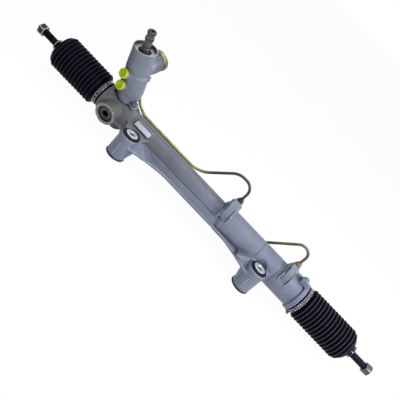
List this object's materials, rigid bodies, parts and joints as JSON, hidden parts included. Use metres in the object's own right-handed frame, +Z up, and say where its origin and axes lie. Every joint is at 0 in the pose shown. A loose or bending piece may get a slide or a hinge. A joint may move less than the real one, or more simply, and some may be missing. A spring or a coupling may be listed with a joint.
{
  "type": "steering rack",
  "caption": "Hydraulic power rack and pinion steering gear with a leaning valve housing, bellows, short rods, transfer pipes and bushed mounting sleeves.",
  "frame": {"origin": "midway between the two mounting bolt holes, on the lower seat plane of their steel sleeves", "axes": "+X along the rack towards the power cylinder end, +Z up along the mounting bolts, -Y towards the side with the mounting sleeves"},
  "size_m": [1.049, 0.136, 0.2522],
  "materials": {
    "cast_aluminium": "as cast",
    "valve_aluminium": "as cast",
    "bellows_rubber": "semi matt",
    "bush_rubber": "matt",
    "bright_steel": "bright zinc",
    "yellow_plastic": "satin",
    "yellow_zinc": "yellow passivated",
    "brass_nut": "worn",
    "black_plug": "black oxide",
    "bolt_steel": "zinc",
    "seal_rubber": "matt",
    "bearing_steel": "ground",
    "machined_steel": "machined",
    "low_friction_resin": "plain",
    "guide_metal": "machined",
    "spring_steel": "plain",
    "dark_steel": "black phosphate",
    "nut_steel": "dull zinc",
    "clamp_steel": "bright"
  },
  "bodies": {
    "housing": {"end_bush": "guide_metal", "guide_lock_ring": "black_plug", "guide_plug": "black_plug", "guide_springs": "spring_steel", "guide_yoke": "guide_metal", "inner_rod_seal": "seal_rubber", "left_band_clamp": "clamp_steel", "left_bellows": "bellows_rubber", "left_pipe": "yellow_zinc", "left_port_nut": "yellow_zinc", "left_rubber_bush": "bush_rubber", "left_steel_sleeve": "bright_steel", "lower_bearing": "bearing_steel", "lower_port_plug": "yellow_plastic", "needle_bearing": "bearing_steel", "outer_rod_seal": "seal_rubber", "pinion_tower_cap": "black_plug", "rack_bush": "low_friction_resin", "rack_housing": "cast_aluminium", "right_band_clamp": "clamp_steel", "right_bellows": "bellows_rubber", "right_pipe": "yellow_zinc", "right_port_nut": "brass_nut", "right_rubber_bush": "bush_rubber", "right_steel_sleeve": "bright_steel", "seal_snap_ring": "bright_steel", "shaft_seal": "seal_rubber", "side_chamber_cap": "yellow_zinc", "upper_bearing": "bearing_steel", "upper_port_plug": "yellow_plastic", "valve_bolts": "bolt_steel", "valve_housing": "valve_aluminium", "valve_pipe_nuts": "yellow_zinc"},
    "rack": {"rack_bar": "machined_steel", "piston": "machined_steel", "piston_ring": "low_friction_resin", "left_ball_socket": "dark_steel", "right_ball_socket": "dark_steel", "left_ball_seat": "low_friction_resin", "right_ball_seat": "low_friction_resin", "left_claw_washer": "spring_steel", "right_claw_washer": "spring_steel"},
    "pinion": {"pinion_gear": "machined_steel", "pinion_nut": "bolt_steel", "valve_sleeve": "machined_steel", "sleeve_rings": "low_friction_resin"},
    "input_shaft": {"input_shaft": "machined_steel", "torsion_bar": "machined_steel", "shaft_pin": "bolt_steel"},
    "left_tie_rod": {"left_tie_rod": "dark_steel", "left_jam_nut": "nut_steel", "left_wire_clip": "clamp_steel"},
    "right_tie_rod": {"right_tie_rod": "dark_steel", "right_jam_nut": "nut_steel", "right_small_clamp": "clamp_steel"}
  },
  "joints": [
    {"name": "rack_slide", "type": "slide", "parent": "housing", "child": "rack", "axis": [1, 0, 0], "range_m": [-0.073, 0.073], "deforming": ["left_bellows", "right_bellows"]},
    {"name": "pinion_turn", "type": "hinge", "parent": "housing", "child": "pinion", "pos_m": [-0.266, 0.06904, 0.06321], "axis": [-0.1857, -0.2873, 0.9397], "range_deg": [-579.2, 579.2]},
    {"name": "input_shaft_twist", "type": "hinge", "parent": "pinion", "child": "input_shaft", "pos_m": [-0.266, 0.06904, 0.06321], "axis": [-0.1857, -0.2873, 0.9397], "range_deg": [-4, 4], "stiffness_Nm_per_rad": 100},
    {"name": "left_tie_rod_swing", "type": "hinge", "parent": "rack", "child": "left_tie_rod", "pos_m": [-0.4163, 0.052, 0.058], "axis": [0, 1, 0], "range_deg": [-20, 20]},
    {"name": "right_tie_rod_swing", "type": "hinge", "parent": "rack", "child": "right_tie_rod", "pos_m": [0.4183, 0.052, 0.058], "axis": [0, 1, 0], "range_deg": [-20, 20]}
  ],
  "couplings": [
    {"joint": "pinion_turn", "follows": "rack_slide", "rad_per_m": 138.43}
  ]
}
